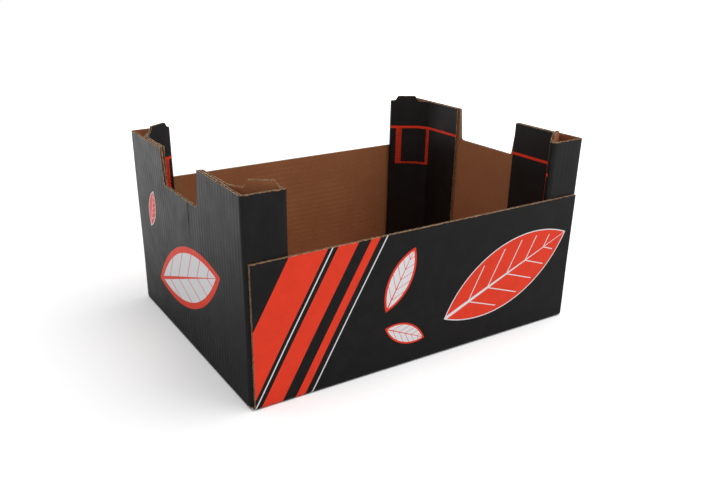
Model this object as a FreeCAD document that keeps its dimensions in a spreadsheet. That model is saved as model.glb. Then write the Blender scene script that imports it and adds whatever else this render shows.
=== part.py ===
"""Open tray box folded from one blank of single-wall corrugated board, in millimetres.

The base folds up on all four sides. The two long walls are low. The two end walls are
tall, with a hand notch, and carry a strip of board past each vertical edge: the strip
turns the corner behind the long wall, folds back as a slanting web and ends as a panel
glued flat on the inside of the end wall, so that each corner is a hollow post. A tab on
top of each web enters a slot in the base of the tray that is stacked above. The wavy
middle paper runs up the end walls and posts and along the base and long walls, and its
open flutes show at the cut edges.

Frame: X along the tray, Y across it, Z up, origin at the centre of the underside.
"""

import FreeCAD, Part
import math
import os

import Sketcher

Vector = FreeCAD.Vector

SIZES = {
    # The tray and its board
    "tray_length": 400.0,
    "tray_width": 300.0,
    "end_height": 205.5,
    "side_height": 145.0,
    "board": 3.0,
    "fold_inner": 1.0,
    "glue_line": 0.2,
    # How far the long walls stop short of the outer faces of the end walls
    "side_inset": 4.0,
    # Hand notch in the middle of each end wall
    "notch_width": 100.0,
    "notch_depth": 38.5,
    "notch_taper": 4.5,
    "notch_corner": 4.0,
    # Corner post: flap, slanting web and glued panel
    "flap_length": 44.5,
    "flap_lift": 0.6,
    "web_angle": 33.0,
    "web_end": 13.4,
    "panel_fold": 43.0,
    "panel_setback": 1.5,
    # Stacking tab on each web, and its slot in the base
    "tab_root": 31.3,
    "tab_top": 22.5,
    "tab_height": 6.5,
    "tab_start": 0.8,
    "slot_play": 1.6,
    "slot_rise": 2.0,
    # Open flutes at the cut edges: pitch, papers and how deep the openings are modelled
    "flute_pitch": 6.4,
    "liner": 0.4,
    "medium": 0.3,
    "flute_depth": 6.0,
}

FOLD_MID = "(sizes.fold_inner + sizes.board / 2)"
FOLD_OUTER = "(sizes.fold_inner + sizes.board)"
LAYER = "(sizes.board + sizes.glue_line)"
# The corner fold of a flap starts here, measured in from the outer face of the long wall
CORNER_START = f"({LAYER} + {FOLD_OUTER})"
# The strip's path starts inside the end wall, so that the two overlap
STRIP_START = f"({CORNER_START} + sizes.board)"
FLAP_BOTTOM = "(sizes.board + sizes.flap_lift)"
# Middle plane of the web where it leaves its fold with the flap
WEB_ROOT_X = f"(sizes.flap_length - {FOLD_OUTER} + {FOLD_MID} * sin(sizes.web_angle * 1 deg))"
WEB_ROOT_Y = f"({CORNER_START} + {FOLD_MID} * cos(sizes.web_angle * 1 deg))"
# The glued panel ends here, short of the notch
PANEL_END = "(sizes.tray_width / 2 - sizes.notch_width / 2 - sizes.panel_setback)"
# Middle plane of the web at its other end, where it bends towards the glued panel
WEB_END_Y = f"({WEB_ROOT_Y} + ({WEB_ROOT_X} - sizes.web_end) * tan(sizes.web_angle * 1 deg))"


def make_sheet(doc):
    sheet = doc.addObject("Spreadsheet::Sheet", "sizes")
    for row, (alias, value) in enumerate(SIZES.items(), start=1):
        sheet.set(f"A{row}", alias)
        sheet.set(f"B{row}", str(value))
        sheet.setAlias(f"B{row}", alias)
    doc.recompute()


def read(doc, expression):
    """Value of an expression on the sheet, for the first guess of a sketch's geometry."""
    result = doc.getObject("sizes").evalExpression(expression)
    return float(getattr(result, "Value", result))


def add_sketch(body, name, role, offset=("0", "0", "0"), turn=None):
    """Sketch on an origin plane of the body, shifted and turned by expressions."""
    sketch = body.newObject("Sketcher::SketchObject", name)
    plane = next(item for item in body.Origin.OriginFeatures if item.Role == role)
    sketch.AttachmentSupport = (plane, [""])
    sketch.MapMode = "FlatFace"
    if turn:
        sketch.AttachmentOffset = FreeCAD.Placement(Vector(), FreeCAD.Rotation(turn[0], 1))
        sketch.setExpression("AttachmentOffset.Rotation.Angle", turn[1])
    for axis, expression in zip("xyz", offset):
        sketch.setExpression(f"AttachmentOffset.Base.{axis}", expression)
    return sketch


def dimension(sketch, name, expression, kind, *where):
    """Named driving constraint whose value follows an expression on the sheet."""
    value = read(sketch.Document, expression)
    if kind == "Angle":
        value = math.radians(value)
    index = sketch.addConstraint(Sketcher.Constraint(kind, *where, value))
    sketch.renameConstraint(index, name)
    sketch.setExpression(f"Constraints.{name}", expression)


def fold_path(sketch, corners, radius):
    """Straight runs joined by tangent arcs of one radius, as element numbers in turn."""
    starts = [corners[0]]
    arcs = []
    for before, corner, after in zip(corners, corners[1:], corners[2:]):
        way_in = (corner - before).normalize()
        way_out = (after - corner).normalize()
        turn = way_in.getAngle(way_out)
        reach = radius * math.tan(turn / 2)
        inward = (way_out - way_in).normalize()
        middle = corner + inward * (radius / math.cos(turn / 2) - radius)
        arcs.append((corner - way_in * reach, middle, corner + way_out * reach))
        starts.append(corner + way_out * reach)
    finishes = [arc[0] for arc in arcs] + [corners[-1]]
    elements = []
    for index, (start, finish) in enumerate(zip(starts, finishes)):
        elements.append(sketch.addGeometry(Part.LineSegment(start, finish)))
        if index < len(arcs):
            elements.append(sketch.addGeometry(Part.Arc(*arcs[index])))
    for index, (start, middle, finish) in enumerate(arcs):
        run, arc, next_run = elements[2 * index : 2 * index + 3]
        left_turn = (middle - start).cross(finish - middle).z > 0
        arc_start, arc_finish = (1, 2) if left_turn else (2, 1)
        sketch.addConstraint(Sketcher.Constraint("Tangent", run, 2, arc, arc_start))
        sketch.addConstraint(Sketcher.Constraint("Tangent", arc, arc_finish, next_run, 1))
        if index:
            sketch.addConstraint(Sketcher.Constraint("Equal", elements[1], arc))
    return elements


def rectangle(sketch, left, bottom, width, height):
    """Rectangle whose corner and sides follow expressions."""
    x, y, w, h = (read(sketch.Document, size) for size in (left, bottom, width, height))
    points = [Vector(x + dx, y + dy) for dx, dy in ((0, 0), (w, 0), (w, h), (0, h))]
    sides = [
        sketch.addGeometry(Part.LineSegment(point, points[(index + 1) % 4]))
        for index, point in enumerate(points)
    ]
    for index, side in enumerate(sides):
        next_side = sides[(index + 1) % 4]
        sketch.addConstraint(Sketcher.Constraint("Coincident", side, 2, next_side, 1))
        direction = "Vertical" if index % 2 else "Horizontal"
        sketch.addConstraint(Sketcher.Constraint(direction, side))
    dimension(sketch, "left", left, "DistanceX", -1, 1, sides[0], 1)
    dimension(sketch, "bottom", bottom, "DistanceY", -1, 1, sides[0], 1)
    dimension(sketch, "width", width, "DistanceX", sides[0], 1, sides[0], 2)
    dimension(sketch, "height", height, "DistanceY", sides[1], 1, sides[1], 2)


def trough_path(sketch, span, height):
    """Path of a panel folded up at both ends, level with the middle of the board."""
    half_span = read(sketch.Document, span) / 2
    top = read(sketch.Document, height)
    floor = read(sketch.Document, "sizes.board / 2")
    corners = [
        Vector(-half_span, top),
        Vector(-half_span, floor),
        Vector(half_span, floor),
        Vector(half_span, top),
    ]
    elements = fold_path(sketch, corners, read(sketch.Document, FOLD_MID))
    left, arc, base, _, right = elements
    for upright in (left, right):
        sketch.addConstraint(Sketcher.Constraint("Vertical", upright))
    sketch.addConstraint(Sketcher.Constraint("Horizontal", base))
    sketch.addConstraint(Sketcher.Constraint("Symmetric", left, 1, right, 2, -2))
    dimension(sketch, "fold", FOLD_MID, "Radius", arc)
    dimension(sketch, "span", span, "DistanceX", left, 1, right, 2)
    dimension(sketch, "top", height, "DistanceY", -1, 1, left, 1)
    dimension(sketch, "floor", "sizes.board / 2", "DistanceY", -1, 1, base, 1)
    return elements


def add_pipe(body, name, section, path, elements):
    """Board of the section's outline carried along the path."""
    body.Document.recompute()
    pipe = body.newObject("PartDesign::AdditivePipe", name)
    pipe.Profile = section
    pipe.Spine = (path, [f"Edge{index + 1}" for index in range(len(elements))])
    body.Document.recompute()
    return pipe


def base_and_long_walls(body):
    span = "sizes.tray_width - sizes.board"
    path = add_sketch(body, "long_wall_path", "YZ_Plane")
    elements = trough_path(path, span, "sizes.side_height")
    corner = ("-sizes.tray_length / 2", "-sizes.tray_width / 2", "sizes.side_height")
    section = add_sketch(body, "long_wall_section", "XY_Plane", corner)
    length = "sizes.tray_length - 2 * sizes.side_inset"
    rectangle(section, "sizes.side_inset", "0", length, "sizes.board")
    add_pipe(body, "long_walls", section, path, elements)


def end_walls(body):
    span = "sizes.tray_length - sizes.board"
    path = add_sketch(body, "end_wall_path", "XZ_Plane")
    elements = trough_path(path, span, "sizes.end_height")
    corner = ("-sizes.tray_length / 2", "-sizes.tray_width / 2", "sizes.end_height")
    section = add_sketch(body, "end_wall_section", "XY_Plane", corner)
    width = f"sizes.tray_width - 2 * {CORNER_START}"
    rectangle(section, "0", CORNER_START, "sizes.board", width)
    add_pipe(body, "end_wall_pair", section, path, elements)


def post_path(sketch):
    """Path of the strip: end wall, flap, web, bevel and glued panel, seen from above."""
    doc = sketch.Document
    layer_middle = f"({LAYER} + sizes.board / 2)"
    web_end = (read(doc, "sizes.web_end"), read(doc, WEB_END_Y))
    web_rise = math.tan(math.radians(read(doc, "sizes.web_angle")))
    middle = read(doc, layer_middle)
    flap_corner_x = read(doc, WEB_ROOT_X) + (read(doc, WEB_ROOT_Y) - middle) / web_rise
    corners = [
        Vector(read(doc, "sizes.board / 2"), read(doc, STRIP_START)),
        Vector(read(doc, "sizes.board / 2"), middle),
        Vector(flap_corner_x, middle),
        Vector(*web_end),
        Vector(middle, read(doc, "sizes.panel_fold")),
        Vector(middle, read(doc, PANEL_END)),
    ]
    elements = fold_path(sketch, corners, read(doc, FOLD_MID))
    wall, corner_arc, flap, flap_arc, web, _, _, _, panel = elements
    sketch.addConstraint(Sketcher.Constraint("Vertical", wall))
    sketch.addConstraint(Sketcher.Constraint("Horizontal", flap))
    sketch.addConstraint(Sketcher.Constraint("Vertical", panel))
    dimension(sketch, "fold", FOLD_MID, "Radius", corner_arc)
    dimension(sketch, "wall_x", "sizes.board / 2", "DistanceX", -1, 1, wall, 1)
    dimension(sketch, "wall_y", STRIP_START, "DistanceY", -1, 1, wall, 1)
    dimension(sketch, "flap_y", layer_middle, "DistanceY", -1, 1, flap, 1)
    flap_centre = f"sizes.flap_length - {FOLD_OUTER}"
    dimension(sketch, "flap_x", flap_centre, "DistanceX", -1, 1, flap_arc, 3)
    dimension(sketch, "web_angle", "180 deg - sizes.web_angle * 1 deg", "Angle", web)
    dimension(sketch, "web_end", "sizes.web_end", "DistanceX", -1, 1, web, 2)
    dimension(sketch, "panel_x", layer_middle, "DistanceX", -1, 1, panel, 1)
    dimension(sketch, "panel_fold", "sizes.panel_fold", "DistanceY", -1, 1, panel, 1)
    dimension(sketch, "panel_end", PANEL_END, "DistanceY", -1, 1, panel, 2)
    return elements


def corner_post(body):
    corner = ("-sizes.tray_length / 2", "-sizes.tray_width / 2", FLAP_BOTTOM)
    path = add_sketch(body, "post_path", "XY_Plane", corner)
    elements = post_path(path)
    start = ("-sizes.tray_length / 2", FLAP_BOTTOM, f"sizes.tray_width / 2 - {STRIP_START}")
    section = add_sketch(body, "post_section", "XZ_Plane", start)
    rectangle(section, "0", "0", "sizes.board", f"sizes.end_height - {FLAP_BOTTOM}")
    return add_pipe(body, "post", section, path, elements)


def stacking_tab(body):
    """Trapezoid that stands on the web's top edge."""
    corner = (
        "-sizes.tray_length / 2 + sizes.web_end",
        "sizes.end_height",
        f"sizes.tray_width / 2 - {WEB_END_Y}",
    )
    turn = (Vector(0, 1, 0), "-sizes.web_angle * 1 deg")
    sketch = add_sketch(body, "tab_outline", "XZ_Plane", corner, turn)
    doc = body.Document
    start, root, top, height = (
        read(doc, f"sizes.{size}") for size in ("tab_start", "tab_root", "tab_top", "tab_height")
    )
    points = [
        Vector(start, 0),
        Vector(start + root, 0),
        Vector(start + (root + top) / 2, height),
        Vector(start + (root - top) / 2, height),
    ]
    sides = [
        sketch.addGeometry(Part.LineSegment(point, points[(index + 1) % 4]))
        for index, point in enumerate(points)
    ]
    for index, side in enumerate(sides):
        next_side = sides[(index + 1) % 4]
        sketch.addConstraint(Sketcher.Constraint("Coincident", side, 2, next_side, 1))
    foot, _, crest, flank = sides
    sketch.addConstraint(Sketcher.Constraint("Horizontal", foot))
    sketch.addConstraint(Sketcher.Constraint("Horizontal", crest))
    dimension(sketch, "start", "sizes.tab_start", "DistanceX", -1, 1, foot, 1)
    dimension(sketch, "floor", "0", "DistanceY", -1, 1, foot, 1)
    dimension(sketch, "root", "sizes.tab_root", "DistanceX", foot, 1, foot, 2)
    dimension(sketch, "crest", "sizes.tab_top", "DistanceX", crest, 2, crest, 1)
    lean = "(sizes.tab_root - sizes.tab_top) / 2"
    dimension(sketch, "lean", lean, "DistanceX", foot, 1, flank, 1)
    dimension(sketch, "height", "sizes.tab_height", "DistanceY", foot, 1, flank, 1)
    doc.recompute()
    tab = body.newObject("PartDesign::Pad", "tab")
    tab.Profile = sketch
    tab.SideType = "Symmetric"
    tab.setExpression("Length", "sizes.board")
    doc.recompute()
    return tab


def mirror_to_all_corners(body, name, originals):
    """Repeat the features across both middle planes of the tray."""
    planes = {item.Role: item for item in body.Origin.OriginFeatures}
    multi = body.newObject("PartDesign::MultiTransform", name)
    multi.Originals = originals
    mirrors = []
    for role in ("XZ_Plane", "YZ_Plane"):
        mirror = body.newObject("PartDesign::Mirrored", f"{name}_{role[:2].lower()}")
        mirror.MirrorPlane = (planes[role], [""])
        mirrors.append(mirror)
    multi.Transformations = mirrors
    body.Tip = multi
    body.Document.recompute()


def hand_notches(body):
    """One pocket along the tray that opens both end walls."""
    doc = body.Document
    sketch = add_sketch(body, "notch_outline", "YZ_Plane")
    top = read(doc, "sizes.end_height")
    bottom = read(doc, "sizes.end_height - sizes.notch_depth")
    half_top = read(doc, "sizes.notch_width / 2")
    half_bottom = read(doc, "sizes.notch_width / 2 - sizes.notch_taper")
    corners = [
        Vector(-half_top, top),
        Vector(-half_bottom, bottom),
        Vector(half_bottom, bottom),
        Vector(half_top, top),
    ]
    left, arc, floor, _, right = fold_path(sketch, corners, read(doc, "sizes.notch_corner"))
    lid = sketch.addGeometry(Part.LineSegment(corners[-1], corners[0]))
    sketch.addConstraint(Sketcher.Constraint("Coincident", right, 2, lid, 1))
    sketch.addConstraint(Sketcher.Constraint("Coincident", lid, 2, left, 1))
    sketch.addConstraint(Sketcher.Constraint("Symmetric", left, 1, right, 2, -2))
    sketch.addConstraint(Sketcher.Constraint("Symmetric", floor, 1, floor, 2, -2))
    dimension(sketch, "corner", "sizes.notch_corner", "Radius", arc)
    dimension(sketch, "width", "sizes.notch_width", "DistanceX", left, 1, right, 2)
    dimension(sketch, "top", "sizes.end_height", "DistanceY", -1, 1, left, 1)
    bottom_level = "sizes.end_height - sizes.notch_depth"
    dimension(sketch, "bottom", bottom_level, "DistanceY", -1, 1, floor, 1)
    side_angle = "90 deg - atan(sizes.notch_taper / sizes.notch_depth)"
    dimension(sketch, "side_angle", side_angle, "Angle", right)
    doc.recompute()
    pocket = body.newObject("PartDesign::Pocket", "notches")
    pocket.Profile = sketch
    pocket.SideType = "Symmetric"
    pocket.setExpression("Length", "sizes.tray_length + 2 * sizes.board")
    body.Tip = pocket
    doc.recompute()


def tab_slot(body):
    """Slot through the base under a web, and into the web's foot, for the tab below."""
    corner = (
        "-sizes.tray_length / 2 + sizes.web_end",
        f"-sizes.tray_width / 2 + {WEB_END_Y}",
        "0",
    )
    turn = (Vector(0, 0, 1), "-sizes.web_angle * 1 deg")
    sketch = add_sketch(body, "slot_outline", "XY_Plane", corner, turn)
    length = "sizes.tab_root + 2 * sizes.slot_play"
    width = "sizes.board + 2 * sizes.slot_play"
    rectangle(sketch, "sizes.tab_start - sizes.slot_play", f"-({width}) / 2", length, width)
    body.Document.recompute()
    slot = body.newObject("PartDesign::Pocket", "slot")
    slot.Profile = sketch
    slot.Reversed = True
    slot.setExpression("Length", "sizes.tab_height + sizes.slot_rise")
    body.Tip = slot
    body.Document.recompute()
    return slot


def flute_row(doc, start, finish, along_flutes):
    """Open flutes between two points on the board's middle plane at a cut edge.

    Each wave of the fluted paper leaves a triangle against one liner and, half a pitch
    further on, a triangle against the other. They run into the board along_flutes.
    """
    pitch = read(doc, "sizes.flute_pitch")
    medium = read(doc, "sizes.medium")
    wide = read(doc, "sizes.board / 2 - sizes.liner")
    narrow = wide - medium
    run = finish - start
    step = Vector(run).normalize()
    across = run.cross(along_flutes).normalize()
    waves = int(run.Length // pitch)
    first = start + step * ((run.Length - waves * pitch) / 2)
    prisms = []
    for half in range(2 * waves - 1):
        side = across if half % 2 else -across
        foot = first + step * (half * pitch / 2)
        points = [
            foot + step * medium + side * wide,
            foot + step * (pitch - medium) + side * wide,
            foot + step * (pitch / 2) - side * narrow,
        ]
        outline = Part.makePolygon(points + points[:1])
        prisms.append(Part.Face(outline).extrude(along_flutes))
    return prisms


def post_flutes(doc, down):
    """Flutes in the top edges of the flap, web, bevel and glued panel of one post."""
    path = doc.getObject("post_path")
    top = read(doc, "sizes.end_height")
    tab_height = read(doc, "sizes.tab_height")
    flap, web, bevel, panel = (path.Geometry[index] for index in (2, 4, 6, 8))
    prisms = []
    for run, rise in ((flap, 0), (web, tab_height), (bevel, 0), (panel, 0)):
        ends = [path.Placement.multVec(point) for point in (run.StartPoint, run.EndPoint)]
        for end in ends:
            end.z = top + rise
        prisms += flute_row(doc, *ends, down - Vector(0, 0, rise))
    return prisms


def wall_flutes(doc, down):
    """Flutes in the top edge of an end wall up to the notch, and in a long wall's end."""
    end_x = -read(doc, "(sizes.tray_length - sizes.board) / 2")
    corner_y = -read(doc, f"sizes.tray_width / 2 - {CORNER_START}")
    notch_y = -read(doc, "sizes.notch_width / 2 + sizes.medium")
    top = read(doc, "sizes.end_height")
    prisms = flute_row(doc, Vector(end_x, corner_y, top), Vector(end_x, notch_y, top), down)
    side_end_x = -read(doc, "sizes.tray_length / 2 - sizes.side_inset")
    side_y = -read(doc, "(sizes.tray_width - sizes.board) / 2")
    foot = Vector(side_end_x, side_y, read(doc, FOLD_OUTER))
    head = Vector(side_end_x, side_y, read(doc, "sizes.side_height"))
    return prisms + flute_row(doc, foot, head, Vector(down.Length, 0, 0))


def notch_flutes(doc, down):
    """Flutes in the floor of one hand notch."""
    end_x = -read(doc, "(sizes.tray_length - sizes.board) / 2")
    half = read(doc, "sizes.notch_width / 2 - sizes.notch_taper - sizes.notch_corner")
    level = read(doc, "sizes.end_height - sizes.notch_depth")
    return flute_row(doc, Vector(end_x, -half, level), Vector(end_x, half, level), down)


def mirrored(prisms, normal):
    """The prisms and their mirror images across the plane through the origin."""
    return prisms + [prism.mirror(Vector(), normal) for prism in prisms]


def flute_openings(doc):
    """All open flutes, as one compound of prisms to cut from the folded blank."""
    down = Vector(0, 0, -read(doc, "sizes.flute_depth"))
    prisms = mirrored(post_flutes(doc, down) + wall_flutes(doc, down), Vector(0, 1, 0))
    prisms = mirrored(prisms + notch_flutes(doc, down), Vector(1, 0, 0))
    feature = doc.addObject("Part::Feature", "flute_openings")
    feature.Shape = Part.makeCompound(prisms)
    return feature


def make_tray(doc):
    body = doc.addObject("PartDesign::Body", "folded_blank")
    base_and_long_walls(body)
    end_walls(body)
    mirror_to_all_corners(body, "posts", [corner_post(body), stacking_tab(body)])
    hand_notches(body)
    before = body.Shape.Volume
    mirror_to_all_corners(body, "slots", [tab_slot(body)])
    if body.Shape.Volume >= before:
        raise RuntimeError("the slots cut nothing")
    tray = doc.addObject("Part::Cut", "folded_tray")
    tray.Label = "folded_tray"
    tray.Base = body
    tray.Tool = flute_openings(doc)
    doc.recompute()
    return tray


def check(doc, tray):
    for item in doc.Objects:
        if {"Invalid", "Error"} & set(item.State):
            raise RuntimeError(f"{item.Label} failed: {item.State}")
    shape = tray.Shape
    if shape.isNull() or not shape.isValid() or len(shape.Solids) != 1:
        raise RuntimeError(f"{tray.Label} is not one valid solid")


doc = FreeCAD.newDocument("tray")
make_sheet(doc)
tray = make_tray(doc)
check(doc, tray)
os.makedirs("parts", exist_ok=True)
tray.Shape.exportStep(f"parts/{tray.Label}.step")
box = tray.Shape.BoundBox
print(f"{tray.Label}: {tray.Shape.Volume / 1e6:.3f} litres of board")
print(f"box {box.XLength:.2f} x {box.YLength:.2f} x {box.ZLength:.2f} mm")
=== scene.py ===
"""Looks of the corrugated cardboard tray box, in Blender 4.5 and in metres.

The board is shown as it is made: an outer liner, a fluted paper and an inner liner, cut and
folded as one blank. The sections are the board, its print and colours, the base and long
walls, the end walls and posts, and then the floor, the light and the camera.
"""

import math

import bmesh
import bpy
from mathutils import Matrix, Vector, noise


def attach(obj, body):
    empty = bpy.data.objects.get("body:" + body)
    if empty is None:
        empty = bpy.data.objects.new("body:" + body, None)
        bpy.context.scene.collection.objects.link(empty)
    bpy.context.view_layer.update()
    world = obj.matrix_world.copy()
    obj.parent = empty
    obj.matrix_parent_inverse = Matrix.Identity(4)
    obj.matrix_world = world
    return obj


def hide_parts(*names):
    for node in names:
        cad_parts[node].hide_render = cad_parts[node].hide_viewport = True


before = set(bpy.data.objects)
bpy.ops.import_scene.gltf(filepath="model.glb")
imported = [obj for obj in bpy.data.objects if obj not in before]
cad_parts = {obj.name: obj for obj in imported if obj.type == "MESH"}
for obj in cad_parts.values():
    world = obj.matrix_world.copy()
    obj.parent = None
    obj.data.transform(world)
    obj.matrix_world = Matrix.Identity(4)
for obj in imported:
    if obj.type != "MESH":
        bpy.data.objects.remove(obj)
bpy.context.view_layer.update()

# Board: single-wall corrugated, 3 mm thick. Two flat liners hold a fluted paper whose waves
# are 6.4 mm long. It is creased before it is folded, so that the outer liner turns the
# corner in a wide bend and the inner liner in a tight one.
board = 0.003
liner = 0.0004
fluting = 0.00025
wave = 0.0064
crease = 0.0025  # Bend radius of the board's middle plane
swing = board / 2 - liner - fluting / 2 - 0.00004  # The waves just clear both liners
wave_steps, liner_step = 12, 0.006
PRINTED, KRAFT, CUT, FLUTED = range(4)  # Order of the materials on each piece


def folded_edge(paper, across, start, heading, folds, aside, step):
    """One edge of a paper, drawn through runs and bends, aside from the middle plane."""
    to_right = Vector((heading.y, -heading.x, 0))
    first = paper.verts.new(start + to_right * aside)
    edge = [first]
    gone = 0.0
    for run, bend in folds:
        pieces = max(1, round(run / step))
        for _ in range(pieces):
            point = bmesh.ops.extrude_vert_indiv(paper, verts=edge[-1:])["verts"][0]
            point.co += heading * (run / pieces)
            gone += run / pieces
            point[across] = gone
            edge.append(point)
        if not bend:
            continue
        inward = -to_right if bend > 0 else to_right
        centre = edge[-1].co - to_right * aside + inward * crease
        steps = max(6, math.ceil(abs(bend) * crease / step))
        turn = Matrix.Rotation(bend / steps, 3, "Z")
        for _ in range(steps):
            point = bmesh.ops.extrude_vert_indiv(paper, verts=edge[-1:])["verts"][0]
            bmesh.ops.rotate(paper, cent=centre, matrix=turn, verts=[point])
            gone += abs(bend) * crease / steps
            point[across] = gone
            edge.append(point)
            heading = turn @ heading
        to_right = Vector((heading.y, -heading.x, 0))
    return edge


def press_flutes(across, edge):
    """Waves the edge of the fluted paper from liner to liner."""
    places = [point.co.copy() for point in edge]
    for index, point in enumerate(edge):
        way = places[min(index + 1, len(edge) - 1)] - places[max(index - 1, 0)]
        to_right = Vector((way.y, -way.x, 0)).normalized()
        point.co += to_right * swing * math.cos(2 * math.pi * point[across] / wave)


def draw_out(paper, edge, levels, facing):
    """Extrudes the edge of a paper into a sheet whose first face looks the given way."""
    first = edge[0]
    lines = [paper.edges.get(pair) for pair in zip(edge, edge[1:])]
    for before, level in zip(levels, levels[1:]):
        grown = bmesh.ops.extrude_edge_only(paper, edges=lines)["geom"]
        points = [item for item in grown if isinstance(item, bmesh.types.BMVert)]
        lines = [item for item in grown if isinstance(item, bmesh.types.BMEdge)]
        bmesh.ops.translate(paper, vec=(0, 0, level - before), verts=points)
    paper.normal_update()
    if first.link_faces[0].normal.dot(facing) < 0:
        bmesh.ops.reverse_faces(paper, faces=paper.faces[:])


def die_cut(paper, windows):
    """Cuts windows out of a sheet. Each is a set of planes that face out of it."""
    for planes in windows:
        for point, outward in planes:
            whole = paper.verts[:] + paper.edges[:] + paper.faces[:]
            bmesh.ops.bisect_plane(paper, geom=whole, dist=1e-7, plane_co=point, plane_no=outward)
        waste = [
            face
            for face in paper.faces
            if all((face.calc_center_median() - point).dot(out) < 0 for point, out in planes)
        ]
        bmesh.ops.delete(paper, geom=waste, context="FACES")


def corrugate(piece, start, heading, folds, levels, outside, place, windows):
    """Adds the three papers of a run of board to a piece, cut and given their thickness."""
    to_right = Vector((heading.y, -heading.x, 0))
    papers = (
        (board / 2 * outside, liner, liner_step, PRINTED),
        (-board / 2 * outside, liner, liner_step, KRAFT),
        (0.0, fluting, wave / wave_steps, FLUTED),
    )
    for aside, thick, step, finish in papers:
        paper = bmesh.new()
        across = paper.verts.layers.float.new("across_flutes")
        edge = folded_edge(paper, across, start, heading, folds, aside, step)
        if finish == FLUTED:
            press_flutes(across, edge)
        draw_out(paper, edge, levels, to_right * (aside or 1))
        bmesh.ops.transform(paper, matrix=place, verts=paper.verts)
        die_cut(paper, windows)
        sheet = paper.faces[:]
        grown = bmesh.ops.solidify(paper, geom=sheet, thickness=thick)["geom"]
        back = {item for item in grown if isinstance(item, bmesh.types.BMFace)} - set(sheet)
        for face in paper.faces:
            face.material_index = CUT
        for face in sheet:
            face.material_index = finish
        for face in back:
            face.material_index = FLUTED
        leaf = bpy.data.meshes.new("paper")
        paper.to_mesh(leaf)
        paper.free()
        piece.from_mesh(leaf)
        bpy.data.meshes.remove(leaf)


# Each web runs at this angle to the long walls, from this point towards the nearest one
web_turn = math.radians(33)
web_end_x, web_end_y = 0.1866, 0.12222
slot_start, slot_end, slot_half_width, slot_rise = -0.0008, 0.0337, 0.0031, 0.0085


def slot_window(side_x, side_y):
    """Slot through the base and the foot of one web, for the tab of the tray below."""
    end = Vector((-web_end_x * side_x, -web_end_y * side_y, 0))
    along = Vector((math.cos(web_turn) * side_x, -math.sin(web_turn) * side_y, 0))
    beside = Vector((along.y, -along.x, 0))
    return [
        (end + along * slot_start, -along),
        (end + along * slot_end, along),
        (end - beside * slot_half_width, -beside),
        (end + beside * slot_half_width, beside),
        (Vector((0, 0, slot_rise)), Vector((0, 0, 1))),
    ]


slots = [slot_window(side_x, side_y) for side_x in (1, -1) for side_y in (1, -1)]


lean_of_ends, lean_of_sides = 0.0011, 0.0012


def unevenness(point):
    """How far handled walls lean inwards, up to 1.2 mm, with nothing at the floor."""
    rise = min(1, max(0, (point.z - 0.006) / 0.07))
    rise = rise * rise * (3 - 2 * rise)
    near_end = abs(point.x / 0.2) ** 8
    near_side = abs(point.y / 0.15) ** 8
    seed_x = Vector((3, point.y, point.z)) * 9 + Vector((point.x * 4, 0, 0))
    seed_y = Vector((point.x, 7, point.z)) * 7 + Vector((0, point.y * 4, 0))
    soft_x = 0.5 + 0.5 * noise.noise(seed_x)
    soft_y = 0.5 + 0.5 * noise.noise(seed_y)
    shift_x = -math.copysign(lean_of_ends * soft_x * near_end * rise, point.x)
    shift_y = -math.copysign(lean_of_sides * soft_y * near_side * rise, point.y)
    return Vector((shift_x, shift_y, 0))


sharp_turn = math.radians(32)


def finish_piece(piece, name):
    """Makes the mesh and object of a piece of board, with its bends smooth."""
    for point in piece.verts:
        point.co += unevenness(point.co)
    for face in piece.faces:
        face.smooth = True
    piece.normal_update()
    for line in piece.edges:
        if len(line.link_faces) == 2 and line.calc_face_angle(0) > sharp_turn:
            line.smooth = False
    mesh = bpy.data.meshes.new(name)
    piece.to_mesh(mesh)
    piece.free()
    made = bpy.data.objects.new(name, mesh)
    bpy.context.scene.collection.objects.link(made)
    for finish in finishes:
        mesh.materials.append(finish)
    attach(made, "root")
    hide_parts("folded_tray")


# Print: black ink laid over the brown outer liner by rubber plates, with red-orange and
# white shapes. The ink is satin, and the liner under it shows the lines of the flutes.
black_ink = (0.0055, 0.005, 0.005, 1)
red_ink = (0.80, 0.040, 0.010, 1)
white_ink = (0.74, 0.74, 0.76, 1)
kraft_brown = (0.36, 0.142, 0.058, 1)
kraft_dark = (0.25, 0.090, 0.035, 1)


def new_finish(name, roughness, specular):
    """A new material, its node tree and its surface node."""
    finish = bpy.data.materials.new(name)
    finish.use_nodes = True
    surface = finish.node_tree.nodes["Principled BSDF"]
    surface.inputs["Roughness"].default_value = roughness
    surface.inputs["Specular IOR Level"].default_value = specular
    return finish, finish.node_tree, surface


def calc(tree, operation, *values):
    """One step of arithmetic on numbers or sockets."""
    step = tree.nodes.new("ShaderNodeMath")
    step.operation = operation
    for socket, value in zip(step.inputs, values):
        if isinstance(value, bpy.types.NodeSocket):
            tree.links.new(value, socket)
        else:
            socket.default_value = value
    return step.outputs[0]


def blend(tree, share, under, over):
    """One colour laid over another by a share from 0 to 1."""
    mix = tree.nodes.new("ShaderNodeMix")
    mix.data_type = "RGBA"
    for socket, value in zip((mix.inputs[0], mix.inputs[6], mix.inputs[7]), (share, under, over)):
        if isinstance(value, bpy.types.NodeSocket):
            tree.links.new(value, socket)
        else:
            socket.default_value = value
    return mix.outputs[2]


def place_of(tree):
    """The place on the object as a vector and as its x, y and z, in metres."""
    coordinates = tree.nodes.new("ShaderNodeTexCoord")
    split = tree.nodes.new("ShaderNodeSeparateXYZ")
    tree.links.new(coordinates.outputs["Object"], split.inputs[0])
    return coordinates.outputs["Object"], *split.outputs


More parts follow.
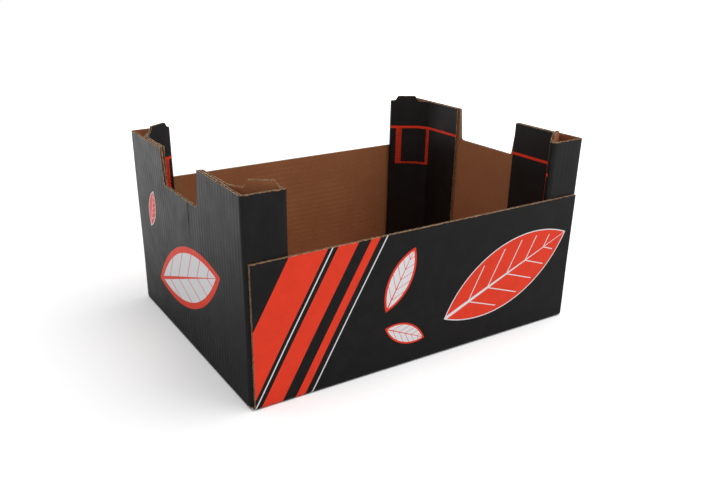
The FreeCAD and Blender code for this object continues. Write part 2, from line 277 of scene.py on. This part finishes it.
def grain(tree, place, stretch, scale, detail=3, rough=0.6):
    """Noise stretched by a Mapping node, from 0 to 1."""
    mapping = tree.nodes.new("ShaderNodeMapping")
    mapping.inputs["Scale"].default_value = stretch
    tree.links.new(place, mapping.inputs["Vector"])
    pattern = tree.nodes.new("ShaderNodeTexNoise")
    pattern.inputs["Scale"].default_value = scale
    pattern.inputs["Detail"].default_value = detail
    pattern.inputs["Roughness"].default_value = rough
    tree.links.new(mapping.outputs[0], pattern.inputs["Vector"])
    return pattern.outputs["Fac"]


def ramp(tree, value, low, high, from_value=0.0, to_value=1.0):
    """Smooth change from one value to another between two marks."""
    step = tree.nodes.new("ShaderNodeMapRange")
    step.interpolation_type = "SMOOTHSTEP"
    for name, setting in (
        ("From Min", low),
        ("From Max", high),
        ("To Min", from_value),
        ("To Max", to_value),
    ):
        step.inputs[name].default_value = setting
    tree.links.new(value, step.inputs["Value"])
    return step.outputs[0]


def washboard(tree, surface, place, depth, share=1.0, dent=0.0):
    """Bump of the flutes that show through a liner, with the paper's own grain and a dent."""
    line = tree.nodes.new("ShaderNodeAttribute")
    line.attribute_name = "across_flutes"
    turn = calc(tree, "MULTIPLY", line.outputs["Fac"], 2 * math.pi / wave)
    crest = calc(tree, "COSINE", turn)
    fades = ramp(tree, grain(tree, place, (1, 1, 1), 11, 3), 0.35, 0.68, 0.15, 1)
    crest = calc(tree, "MULTIPLY", crest, fades)
    fine = calc(tree, "MULTIPLY", grain(tree, place, (1, 1, 1), 900, 4), 0.35)
    lift = tree.nodes.new("ShaderNodeBump")
    lift.inputs["Strength"].default_value = 1.0
    lift.inputs["Distance"].default_value = depth
    height = calc(tree, "MULTIPLY_ADD", crest, share, fine)
    height = calc(tree, "SUBTRACT", height, dent)
    tree.links.new(height, lift.inputs["Height"])
    tree.links.new(lift.outputs[0], surface.inputs["Normal"])
    return crest


def leaf_print(tree, u, v, centre, lean, half_length, half_width, filled):
    """Pointed leaf in red with white lines or, if not filled, in white with red lines.

    All lengths are in millimetres. Returns where the leaf lies and what of it is white.
    """
    cosine, sine = math.cos(math.radians(lean)), math.sin(math.radians(lean))
    du = calc(tree, "SUBTRACT", u, centre[0])
    dv = calc(tree, "SUBTRACT", v, centre[1])
    along = calc(tree, "MULTIPLY_ADD", du, cosine, calc(tree, "MULTIPLY", dv, sine))
    beside = calc(tree, "MULTIPLY_ADD", dv, cosine, calc(tree, "MULTIPLY", du, -sine))
    beside = calc(tree, "ABSOLUTE", beside)
    radius = (half_length**2 + half_width**2) / (2 * half_width)
    height = calc(tree, "ADD", beside, radius - half_width)
    squares = calc(tree, "MULTIPLY_ADD", along, along, calc(tree, "MULTIPLY", height, height))
    gap = calc(tree, "SUBTRACT", calc(tree, "SQRT", squares), radius)
    body = calc(tree, "LESS_THAN", gap, 0.0)
    taper = ramp(tree, along, -half_length, half_length, 0.02 * half_length, 0.3)
    rib = calc(tree, "LESS_THAN", beside, taper)
    spacing = half_length / 3.2
    slant = calc(tree, "MULTIPLY_ADD", beside, -1.15, along)
    slant = calc(tree, "WRAP", slant, -spacing / 2, spacing / 2)
    vein = calc(tree, "LESS_THAN", calc(tree, "ABSOLUTE", slant), 0.007 * half_length + 0.2)
    vein = calc(tree, "MULTIPLY", vein, calc(tree, "LESS_THAN", gap, -0.16 * half_width))
    lines = calc(tree, "MULTIPLY", calc(tree, "MAXIMUM", rib, vein), body)
    if filled:
        outline = calc(tree, "LESS_THAN", calc(tree, "ABSOLUTE", gap), 0.55)
        return body, calc(tree, "MAXIMUM", lines, outline)
    core = calc(tree, "LESS_THAN", gap, -0.07 * half_length)
    return body, calc(tree, "MULTIPLY", core, calc(tree, "SUBTRACT", 1.0, lines))


def line_at(tree, value, centre, half_width):
    """1 where a value is within half a line's width of the line's centre, or else 0."""
    return calc(
        tree, "LESS_THAN", calc(tree, "ABSOLUTE", calc(tree, "SUBTRACT", value, centre)), half_width
    )


def bar_print(tree, u, v, foot, width):
    """Slanting bar that runs off both edges of a wall."""
    return line_at(tree, calc(tree, "MULTIPLY_ADD", v, -0.58, u), foot, width / 2)


printed, ink, surface = new_finish("printed_board", 0.45, 0.2)
place, x, y, z = place_of(ink)
v = calc(ink, "MULTIPLY", z, 1000.0)
long_u = calc(ink, "MULTIPLY", calc(ink, "MULTIPLY", x, -1000.0), calc(ink, "SIGN", y))
end_u = calc(ink, "MULTIPLY", calc(ink, "MULTIPLY", y, 1000.0), calc(ink, "SIGN", x))
out_x, out_y = calc(ink, "ABSOLUTE", x), calc(ink, "ABSOLUTE", y)
outer_x, outer_y = 0.1975, 0.1478  # Only the outer faces lie beyond these
on_long = calc(ink, "GREATER_THAN", out_y, outer_y)
on_end = calc(ink, "GREATER_THAN", out_x, outer_x)

# Leaves and bars. A leaf has a centre, a lean in degrees, half a length and half a width
red, white = None, None
for wall, u, shapes in (
    (
        on_long,
        long_u,
        (
            ((104, 72), 22, 88, 35, True),
            ((-36, 96), 62, 35, 14, False),
            ((-28, 36), -24, 27, 11, False),
        ),
    ),
    (on_end, end_u, (((2, 80), 20, 96, 33, False), ((-94, 128), 66, 24, 10, True))),
):
    for shape in shapes:
        fill, lines = leaf_print(ink, u, v, *shape)
        fill = calc(ink, "MULTIPLY", fill, wall)
        lines = calc(ink, "MULTIPLY", lines, wall)
        red = fill if red is None else calc(ink, "MAXIMUM", red, fill)
        white = lines if white is None else calc(ink, "MAXIMUM", white, lines)
red_bars, white_bars = ((-222, 40), (-180, 22), (-150, 10)), ((-197, 1.5), (-137, 1.5))
for foot, width in red_bars:
    bar = calc(ink, "MULTIPLY", bar_print(ink, long_u, v, foot, width), on_long)
    red = calc(ink, "MAXIMUM", red, bar)
for foot, width in white_bars:
    bar = calc(ink, "MULTIPLY", bar_print(ink, long_u, v, foot, width), on_long)
    white = calc(ink, "MAXIMUM", white, bar)

# The webs and glued panels turn the printed side of the blank to the inside of the tray
inner_x, inner_y = 0.1945, 0.1425
within = calc(ink, "LESS_THAN", out_x, inner_x)
inside = calc(ink, "MULTIPLY", within, calc(ink, "LESS_THAN", out_y, inner_y))
stripe_height = 171.0
stripe = line_at(ink, v, stripe_height, 1.6)
red = calc(ink, "MAXIMUM", red, calc(ink, "MULTIPLY", stripe, inside))
# Below it a worn red frame, with one upright on the panel and one on the web
frame_centre, frame_half, frame_top, frame_foot = 0.1213, 0.0133, stripe_height, 121.0
apart = calc(ink, "ABSOLUTE", calc(ink, "SUBTRACT", out_y, frame_centre))
upright = line_at(ink, apart, frame_half, 0.0021)
reach = line_at(ink, v, (frame_top + frame_foot) / 2, (frame_top - frame_foot) / 2)
upright = calc(ink, "MULTIPLY", upright, reach)
foot_line = line_at(ink, v, frame_foot + 1.2, 1.3)
foot_line = calc(ink, "MULTIPLY", foot_line, calc(ink, "LESS_THAN", apart, frame_half))
band = calc(ink, "MAXIMUM", upright, foot_line)
worn = calc(ink, "GREATER_THAN", grain(ink, place, (1, 1, 1), 1500, 2), 0.47)
band = calc(ink, "MULTIPLY", calc(ink, "MULTIPLY", band, worn), inside)
red = calc(ink, "MAXIMUM", red, band)
# The underside is left unprinted
base_x, base_y = 0.182, 0.132
bare = calc(ink, "MULTIPLY", line_at(ink, x, 0.0, base_x), line_at(ink, y, 0.0, base_y))
bare = calc(ink, "MULTIPLY", bare, calc(ink, "LESS_THAN", v, 1.0))

# The inks lie a little unevenly on the paper
mottle = grain(ink, place, (1, 1, 1), 60, 4)
dark = blend(ink, ramp(ink, mottle, 0.35, 0.7), black_ink, (0.0085, 0.0078, 0.0078, 1))
red_tone = blend(ink, ramp(ink, mottle, 0.3, 0.75), red_ink, (0.73, 0.035, 0.009, 1))
colour = blend(ink, red, dark, red_tone)
colour = blend(ink, white, colour, white_ink)
fibres = grain(ink, place, (1, 1, 4), 420, 5, 0.7)
brown = blend(ink, ramp(ink, fibres, 0.3, 0.72), kraft_dark, kraft_brown)
colour = blend(ink, bare, colour, brown)
# Ink rubbed off at the cut edges: distances in millimetres, made large where no edge is
side_top, end_top, no_edge = 145.0, 205.5, 50.0
away = calc(ink, "MULTIPLY", calc(ink, "SUBTRACT", 1.0, on_long), no_edge)
edge_low = calc(ink, "ADD", calc(ink, "ABSOLUTE", calc(ink, "SUBTRACT", v, side_top)), away)
edge_top = calc(ink, "ABSOLUTE", calc(ink, "SUBTRACT", v, end_top))
edge_top = calc(ink, "MINIMUM", calc(ink, "MULTIPLY_ADD", inside, no_edge, edge_top), edge_low)
wall_end = 0.196
edge_end = calc(ink, "MULTIPLY", calc(ink, "SUBTRACT", wall_end, out_x), 1000.0)
edge_end = calc(ink, "ADD", calc(ink, "ABSOLUTE", edge_end), away)
edge = calc(ink, "MINIMUM", edge_top, edge_end)
chips = calc(ink, "MULTIPLY", ramp(ink, grain(ink, place, (1, 1, 1), 330, 4), 0.48, 0.78), 1.1)
rubbed = calc(ink, "LESS_THAN", edge, chips)
colour = blend(ink, rubbed, colour, brown)
specks = ramp(ink, grain(ink, place, (1, 1, 1), 1100, 2, 0.5), 0.785, 0.80)
colour = blend(ink, calc(ink, "MULTIPLY", specks, 0.5), colour, (0.42, 0.36, 0.30, 1))
# A handling crease runs down from the left hand notch
crease_line = calc(ink, "MULTIPLY_ADD", grain(ink, place, (0, 0, 1), 30, 2), 0.003, y)
crease_at = -0.0195
crease_line = calc(ink, "ABSOLUTE", calc(ink, "SUBTRACT", crease_line, crease_at))
crease_line = ramp(ink, crease_line, 0.0006, 0.0018, 1.0, 0.0)
crease_line = calc(ink, "MULTIPLY", crease_line, ramp(ink, z, 0.118, 0.150))
crease_line = calc(ink, "MULTIPLY", crease_line, calc(ink, "LESS_THAN", x, -outer_x))
matt = calc(ink, "MULTIPLY_ADD", crease_line, -0.17, 0.2)
ink.links.new(matt, surface.inputs["Specular IOR Level"])
ink.links.new(colour, surface.inputs["Base Color"])
dull = ramp(ink, grain(ink, place, (1, 1, 1), 35, 4), 0.3, 0.75, 0.40, 0.50)
dull = calc(ink, "MAXIMUM", dull, calc(ink, "MULTIPLY", calc(ink, "MAXIMUM", bare, rubbed), 0.85))
ink.links.new(dull, surface.inputs["Roughness"])
# Flutes show more on the ends, where they run upwards, than on the rest
share = calc(ink, "MULTIPLY_ADD", on_end, 0.7, 0.3)
flute_depth = 0.00008
washboard(ink, surface, place, flute_depth, share, calc(ink, "MULTIPLY", crease_line, 4.0))

# Bare kraft: the brown liner inside the tray and in the posts, with darker fibres and
# specks of bark, and the faint lines of the flutes.
kraft, tree, surface = new_finish("kraft_liner", 0.86, 0.25)
place = place_of(tree)[0]
fibres = grain(tree, place, (1, 1, 3), 500, 5, 0.7)
cloud = grain(tree, place, (1, 1, 1), 22, 4)
colour = blend(tree, ramp(tree, fibres, 0.3, 0.72), kraft_dark, kraft_brown)
colour = blend(tree, ramp(tree, cloud, 0.3, 0.75, 0, 0.35), colour, (0.40, 0.172, 0.078, 1))
bark = ramp(tree, grain(tree, place, (1, 1, 1), 800, 2, 0.5), 0.72, 0.76)
colour = blend(tree, calc(tree, "MULTIPLY", bark, 0.6), colour, (0.11, 0.05, 0.025, 1))
crest = washboard(tree, surface, place, flute_depth / 2)
colour = blend(tree, ramp(tree, crest, 0.2, 1.0, 0, 0.14), colour, (0.18, 0.07, 0.03, 1))
tree.links.new(colour, surface.inputs["Base Color"])

# Cut edges: the papers as the cutting die sheared them, bare of ink and pale with the loose fibres
# of the kraft.
# Noise mottles them with a dark brown that is partly the paper's own tone and partly painted shade
# between the fibres.
cut, tree, surface = new_finish("cut_paper", 0.92, 0.15)
place = place_of(tree)[0]
tone = ramp(tree, grain(tree, place, (1, 1, 1), 260, 4), 0.35, 0.65)
colour = blend(tree, tone, (0.22, 0.11, 0.055, 1), (0.54, 0.42, 0.29, 1))
tree.links.new(colour, surface.inputs["Base Color"])
lift = tree.nodes.new("ShaderNodeBump")
lift.inputs["Distance"].default_value = 0.0003
tree.links.new(grain(tree, place, (1, 1, 1), 1500, 3), lift.inputs["Height"])
tree.links.new(lift.outputs[0], surface.inputs["Normal"])

# Fluted paper: the thin brown paper between the liners, a little darker than they are. The
# hidden faces of the liners have its colour too.
fluted, tree, surface = new_finish("fluted_paper", 0.9, 0.15)
place = place_of(tree)[0]
tone = ramp(tree, grain(tree, place, (1, 1, 1), 500, 4), 0.3, 0.7)
colour = blend(tree, tone, (0.20, 0.10, 0.05, 1), (0.30, 0.165, 0.085, 1))
tree.links.new(colour, surface.inputs["Base Color"])
finishes = [printed, kraft, cut, fluted]

# Base and long walls: the middle of the blank, folded up along its two long sides. The
# flutes run along the tray, so they show at the walls' ends and not along their tops.
piece = bmesh.new()
along_x = Matrix(((0, 0, 1, 0), (1, 0, 0, 0), (0, 1, 0, 0), (0, 0, 0, 1)))
quarter = math.pi / 2
half_length, wall_run, base_run = 0.196, 0.141, 0.292
corrugate(
    piece,
    Vector((-0.1485, 0.145, -half_length)),
    Vector((0, -1, 0)),
    [(wall_run, quarter), (base_run, quarter), (wall_run, 0)],
    [-half_length + half_length / 10 * step for step in range(21)],
    1,
    along_x,
    slots,
)
finish_piece(piece, "base_and_long_walls")

# End walls and posts: each end of the blank is folded up, then its two strips turn the
# corners behind the long walls, fold back on themselves as webs and end as panels glued
# inside the end wall. The flutes run upwards, so they show along every top edge.
post_top, tab_top = 0.2055, 0.212
notch_floor, notch_foot, notch_corner = 0.167, 0.0455, 0.004
flank = Vector((0, 0.0385, -0.0045)).normalized()
tilt = math.atan2(flank.y, -flank.z)
notch = [(Vector((0, 0, notch_floor)), Vector((0, 0, -1)))]
for side in (1, -1):
    foot = Vector((0, notch_foot * side, notch_floor))
    notch.append((foot, Vector((0, flank.y * side, flank.z))))
    shift = Vector((0, -side * notch_corner * math.tan(tilt / 2), notch_corner))
    for part in (0.25, 0.5, 0.75):
        out = Vector((0, side * math.sin(tilt * part), -math.cos(tilt * part)))
        notch.append((foot + shift + out * notch_corner, out))

# Runs of a strip with the bend after each: glued panel, bevel, web and flap
panel_run, bevel_run, web_run, flap_run, end_run = 0.0555, 0.015146, 0.033937, 0.0365, 0.2856
bevel_out, bevel_back = math.radians(27.05), math.radians(29.95)
fold_back = math.pi - web_turn
strip = [
    (panel_run, bevel_back),
    (bevel_run, bevel_out),
    (web_run, -fold_back),
    (flap_run, -quarter),
]
mirrored_strip = [
    (flap_run, -fold_back),
    (web_run, bevel_out),
    (bevel_run, bevel_back),
    (panel_run, 0),
]
wall_foot = 0.004
rising = [wall_foot + (post_top - wall_foot) * step / 14 for step in range(15)]
standing = Matrix.Identity(4)
lying = Matrix(((1, 0, 0, 0), (0, 0, -1, 0), (0, 1, 0, 0), (0, 0, 0, 1)))

for side, name in ((-1, "left_end_and_posts"), (1, "right_end_and_posts")):
    piece = bmesh.new()
    corrugate(
        piece,
        Vector((-0.1953, -0.0515, wall_foot)),
        Vector((0, -1, 0)),
        strip + [(end_run, -quarter)] + mirrored_strip,
        rising,
        -1,
        standing,
        [notch] + slots,
    )
    # Fold between the base and the end wall
    corrugate(
        piece,
        Vector((-0.19595, board / 2, -end_run / 2)),
        Vector((-1, 0, 0)),
        [(0.00005, -quarter)],
        [-end_run / 2 + end_run / 32 * step for step in range(33)],
        -1,
        lying,
        [],
    )
    # Stacking tabs on the tops of the webs, cut with slanting ends
    tab_start, tab_end = 0.0008, 0.0321
    slant = Vector((0.0044, 0, 0.0065)).normalized()
    for side_y in (1, -1):
        end = Vector((-web_end_x, -web_end_y * side_y, post_top))
        along = Vector((math.cos(web_turn), -math.sin(web_turn) * side_y, 0))
        trims = [
            [(end + along * tab_start, along * slant.z - Vector((0, 0, slant.x)))],
            [(end + along * tab_end, -along * slant.z - Vector((0, 0, slant.x)))],
        ]
        corrugate(
            piece,
            end + along * tab_start,
            along,
            [(tab_end - tab_start, 0)],
            [post_top, 0.2088, tab_top],
            -side_y,
            standing,
            trims,
        )
    if side > 0:
        bmesh.ops.scale(piece, vec=(-1, 1, 1), verts=piece.verts)
        bmesh.ops.reverse_faces(piece, faces=piece.faces[:])
    finish_piece(piece, name)

# Floor: the white sweep under the tray. It looks white to the camera, keeps the tray's
# shadow, and is 12 m wide so that no edge shows.
floor_mesh = bpy.data.meshes.new("floor")
sheet = bmesh.new()
bmesh.ops.create_grid(sheet, x_segments=1, y_segments=1, size=6.0)
sheet.to_mesh(floor_mesh)
sheet.free()
floor = bpy.data.objects.new("floor", floor_mesh)
bpy.context.scene.collection.objects.link(floor)
pale = bpy.data.materials.new("pale_floor")
pale.use_nodes = True
tree = pale.node_tree
surface = tree.nodes["Principled BSDF"]
surface.inputs["Roughness"].default_value = 0.9
surface.inputs["Specular IOR Level"].default_value = 0.0
surface.inputs["Emission Color"].default_value = (1, 1, 1, 1)
rays = tree.nodes.new("ShaderNodeLightPath")
seen = calc(tree, "MAXIMUM", rays.outputs["Is Camera Ray"], rays.outputs["Is Glossy Ray"])
place, x, y, _ = place_of(tree)
reach_out = tree.nodes.new("ShaderNodeVectorMath")
reach_out.operation = "LENGTH"
tree.links.new(place, reach_out.inputs[0])
far = ramp(tree, reach_out.outputs["Value"], 0.45, 1.5)
under_x, under_y = 0.199, 0.149  # The floor that the tray stands on keeps no light of its own
covered = calc(
    tree, "MULTIPLY", line_at(tree, x, 0.0, under_x), line_at(tree, y, 0.0, under_y)
)
open_floor = calc(tree, "SUBTRACT", 1.0, covered)
open_floor = calc(tree, "MULTIPLY", open_floor, rays.outputs["Is Camera Ray"])
glow = calc(tree, "MULTIPLY_ADD", far, 0.8, calc(tree, "MULTIPLY", open_floor, 0.24))
# Painted reflection: for glossy rays only, the floor behind the tray glows up to 0.25 more, which
# gives the satin ink a sheen
painted_sheen_behind = calc(tree, "MULTIPLY", ramp(tree, y, 0.0, 0.4, 0.0, 0.25), rays.outputs["Is Glossy Ray"])
glow = calc(tree, "MULTIPLY_ADD", seen, glow, painted_sheen_behind)
tree.links.new(glow, surface.inputs["Emission Strength"])
# Painted shade in reflections: for glossy rays the floor near the tray and in front of it is
# darkened towards 0.05, so it mirrors darker in the satin ink than it looks
painted_shade_near = ramp(tree, reach_out.outputs["Value"], 0.2, 0.6, 0.5, 0.0)
painted_shade_near = calc(tree, "MAXIMUM", painted_shade_near, ramp(tree, y, -0.2, 0.0, 0.5, 0.0))
painted_shade_near = calc(tree, "MULTIPLY", painted_shade_near, rays.outputs["Is Glossy Ray"])
shade = blend(tree, painted_shade_near, (0.86, 0.86, 0.86, 1), (0.05, 0.05, 0.05, 1))
tree.links.new(shade, surface.inputs["Base Color"])
floor_mesh.materials.append(pale)

# Light: one wide soft lamp high up on the right, a little in front of the tray, and a pale
# world all round, as in a bright studio.
world = bpy.data.worlds.new("studio")
bpy.context.scene.world = world
world.use_nodes = True
tree = world.node_tree
back = tree.nodes["Background"]
back.inputs["Color"].default_value = (1, 1, 1, 1)
rays = tree.nodes.new("ShaderNodeLightPath")
seen = calc(tree, "MAXIMUM", rays.outputs["Is Camera Ray"], rays.outputs["Is Glossy Ray"])
tree.links.new(calc(tree, "MULTIPLY_ADD", seen, 0.3, 0.7), back.inputs["Strength"])

lamp_place, lamp_target = Vector((0.75, -0.45, 1.8)), Vector((0, 0, 0.05))
light = bpy.data.lights.new("high_lamp", "AREA")
light.shape = "RECTANGLE"
light.size = light.size_y = 1.8
light.energy = 24
lamp = bpy.data.objects.new("high_lamp", light)
bpy.context.scene.collection.objects.link(lamp)
lamp.location = lamp_place
lamp.rotation_euler = (lamp_target - lamp_place).to_track_quat("-Z", "Y").to_euler()

# Camera: the photograph's view, from the front left and above. Its place, turn and lens
# were solved from the tray's corners in the photograph.
view = bpy.data.cameras.new("view")
camera = bpy.data.objects.new("view", view)
bpy.context.scene.collection.objects.link(camera)
bpy.context.scene.camera = camera
view.sensor_width = 36
view.lens = 37.135
view.shift_x = 0.0600
view.shift_y = 0.0638
right = Vector((0.8644, -0.5027, -0.0056)).normalized()
forward = Vector((0.4572, 0.7907, -0.4072)).normalized()
up = right.cross(forward)
right = forward.cross(up)
turn = Matrix((right, up, -forward)).transposed().to_4x4()
camera.matrix_world = Matrix.Translation((-0.4364, -0.6794, 0.3843)) @ turn

bpy.context.scene.view_settings.view_transform = "Standard"
